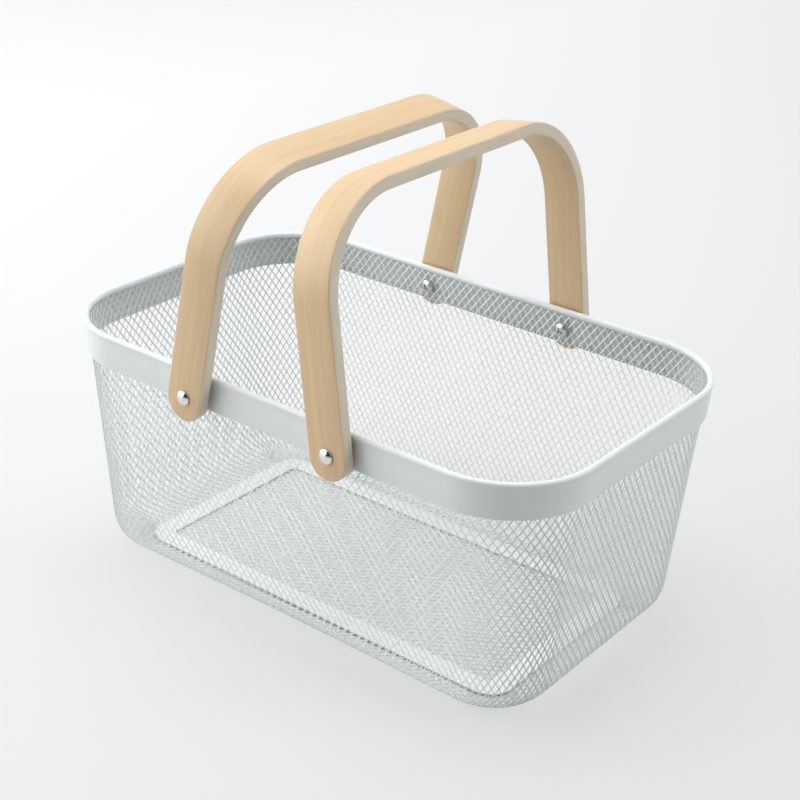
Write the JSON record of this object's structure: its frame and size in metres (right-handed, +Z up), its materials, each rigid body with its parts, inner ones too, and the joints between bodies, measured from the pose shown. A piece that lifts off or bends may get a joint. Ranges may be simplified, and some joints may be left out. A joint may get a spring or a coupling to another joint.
{
  "type": "mesh basket",
  "caption": "Rectangular open storage basket of expanded steel mesh with a rolled rim band and swinging bent wood handles.",
  "frame": {"origin": "centre of the basket's outline on the plane that the base frame stands on", "axes": "+Z up, +X along the long sides, +Y across the basket through the handle pivots, -Y is the side that faces the camera in the picture"},
  "size_m": [0.4, 0.2762, 0.3204],
  "materials": {
    "painted_steel": "pale grey-green satin paint on sheet and expanded mesh",
    "bent_wood": "clear satin lacquer on pale laminated bent wood",
    "chrome_cap": "bright plated domed cap nuts",
    "zinc_steel": "zinc plated screws and washers"
  },
  "bodies": {
    "basket": {"rim_band": "painted_steel", "wall_mesh": "painted_steel", "base_frame": "painted_steel", "base_mesh": "painted_steel", "washer_left_front": "zinc_steel", "washer_left_back": "zinc_steel", "washer_right_front": "zinc_steel", "washer_right_back": "zinc_steel", "cap_nut_left_front": "chrome_cap", "cap_nut_left_back": "chrome_cap", "cap_nut_right_front": "chrome_cap", "cap_nut_right_back": "chrome_cap", "screw_left_front": "zinc_steel", "screw_left_back": "zinc_steel", "screw_right_front": "zinc_steel", "screw_right_back": "zinc_steel"},
    "left_handle": {"handle_left": "bent_wood"},
    "right_handle": {"handle_right": "bent_wood"}
  },
  "joints": [
    {"name": "handle_left_swing", "type": "hinge", "parent": "basket", "child": "left_handle", "pos_m": [-0.059, 0, 0.163], "axis": [0, 1, 0], "range_deg": [-118, 6.2]},
    {"name": "handle_right_swing", "type": "hinge", "parent": "basket", "child": "right_handle", "pos_m": [0.059, 0, 0.163], "axis": [0, -1, 0], "range_deg": [-116, 8.4]}
  ]
}
